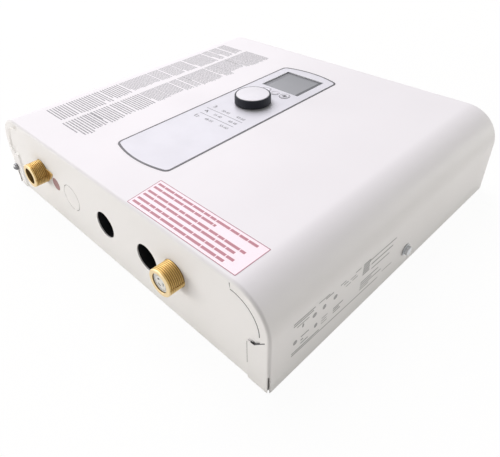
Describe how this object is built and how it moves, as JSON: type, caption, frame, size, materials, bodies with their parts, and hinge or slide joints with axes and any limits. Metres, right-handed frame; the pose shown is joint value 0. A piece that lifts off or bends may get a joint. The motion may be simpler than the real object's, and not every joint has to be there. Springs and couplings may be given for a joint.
{
  "type": "tankless water heater",
  "caption": "Wall-mounted electric tankless water heater: rounded sheet-steel case with dial and display, threaded water fittings and cable entries, heater cans inside.",
  "frame": {"origin": "centre of the back panel's rear face, which sits on the wall; the part lies on its back", "axes": "+Z out of the wall through the front, -Y the bottom end with the water fittings, +X to the right of someone facing the front"},
  "size_m": [0.4242, 0.383, 0.1078],
  "materials": {
    "white_paint": "satin white powder coat",
    "zinc_steel": "zinc-plated steel",
    "panel_plastic": "pale lavender-white moulded plastic",
    "display_glass": "grey liquid crystal display window",
    "grey_plastic": "grey moulded plastic",
    "circuit_board": "green solder mask",
    "knob_plastic": "anthracite soft-touch plastic",
    "brass": "machined brass",
    "filter_plastic": "natural white moulded plastic",
    "black_plastic": "black moulded plastic",
    "copper": "drawn copper, slightly dulled",
    "red_plastic": "red moulded plastic",
    "aluminium": "extruded aluminium",
    "lead_grey": "grey cable jacket",
    "lead_black": "black cable jacket"
  },
  "bodies": {
    "chassis": {"back_panel": "white_paint", "bottom_end_wall": "white_paint", "top_end_wall": "white_paint", "cover_screw_left": "zinc_steel", "hot_outlet_fitting": "brass", "cold_inlet_fitting": "brass", "hot_fitting_bracket": "zinc_steel", "cold_fitting_bracket": "zinc_steel", "inlet_filter": "filter_plastic", "cable_guide_1": "black_plastic", "cable_guide_2": "black_plastic", "flow_sensor_body": "black_plastic", "flow_valve_body": "brass", "valve_motor": "zinc_steel", "inlet_pipe": "copper", "heater_cylinder_1": "copper", "heater_cylinder_2": "copper", "heater_cylinder_3": "copper", "heating_element_1": "brass", "heating_element_2": "brass", "heating_element_3": "brass", "crossover_pipe_top": "copper", "crossover_pipe_bottom": "copper", "outlet_pipe": "copper", "cylinder_bracket_lower": "zinc_steel", "cylinder_bracket_upper": "zinc_steel", "safety_limiter": "black_plastic", "outlet_temperature_sensor": "brass", "cooling_block": "aluminium", "triac_1": "black_plastic", "triac_2": "black_plastic", "triac_3": "black_plastic", "board_carrier": "grey_plastic", "main_board": "circuit_board", "transformer": "zinc_steel", "control_socket": "filter_plastic", "terminal_block_1": "filter_plastic", "terminal_block_2": "filter_plastic", "ground_bar": "brass", "power_lead_1": "lead_black", "power_lead_2": "lead_black", "power_lead_3": "lead_black"},
    "cover": {"cover": "white_paint", "cover_screw_right": "zinc_steel", "control_panel": "panel_plastic", "display_glass": "display_glass", "display_module": "grey_plastic", "control_board": "circuit_board", "encoder_body": "grey_plastic", "control_plug": "black_plastic", "control_lead": "lead_grey"},
    "knob": {"knob": "knob_plastic", "knob_cap": "panel_plastic", "encoder_shaft": "zinc_steel"},
    "key_1": {"key_1": "panel_plastic"},
    "key_2": {"key_2": "panel_plastic"},
    "key_3": {"key_3": "panel_plastic"},
    "turbine": {"turbine_rotor": "filter_plastic"},
    "valve_spindle": {"valve_spindle": "zinc_steel"},
    "reset_button": {"reset_button": "red_plastic"}
  },
  "joints": [
    {"name": "cover_lift", "type": "slide", "parent": "chassis", "child": "cover", "axis": [0, 0, 1], "range_m": [0, 0.13]},
    {"name": "knob_spin", "type": "hinge", "parent": "cover", "child": "knob", "pos_m": [-0.005, 0.0276, 0.1], "axis": [0, 0, 1], "continuous": true},
    {"name": "key_1_press", "type": "slide", "parent": "cover", "child": "key_1", "axis": [0, 0, -1], "range_m": [0, 0.0008], "stiffness_N_per_m": 300},
    {"name": "key_2_press", "type": "slide", "parent": "cover", "child": "key_2", "axis": [0, 0, -1], "range_m": [0, 0.0008], "stiffness_N_per_m": 300},
    {"name": "key_3_press", "type": "slide", "parent": "cover", "child": "key_3", "axis": [0, 0, -1], "range_m": [0, 0.0008], "stiffness_N_per_m": 300},
    {"name": "turbine_spin", "type": "hinge", "parent": "chassis", "child": "turbine", "pos_m": [0.104, -0.125, 0.053], "axis": [0, 1, 0], "continuous": true},
    {"name": "valve_turn", "type": "hinge", "parent": "chassis", "child": "valve_spindle", "pos_m": [0.104, -0.0872, 0.06], "axis": [0, 0, 1], "range_deg": [0, 90]},
    {"name": "reset_press", "type": "slide", "parent": "chassis", "child": "reset_button", "axis": [0, 0, -1], "range_m": [0, 0.0015], "stiffness_N_per_m": 400}
  ]
}
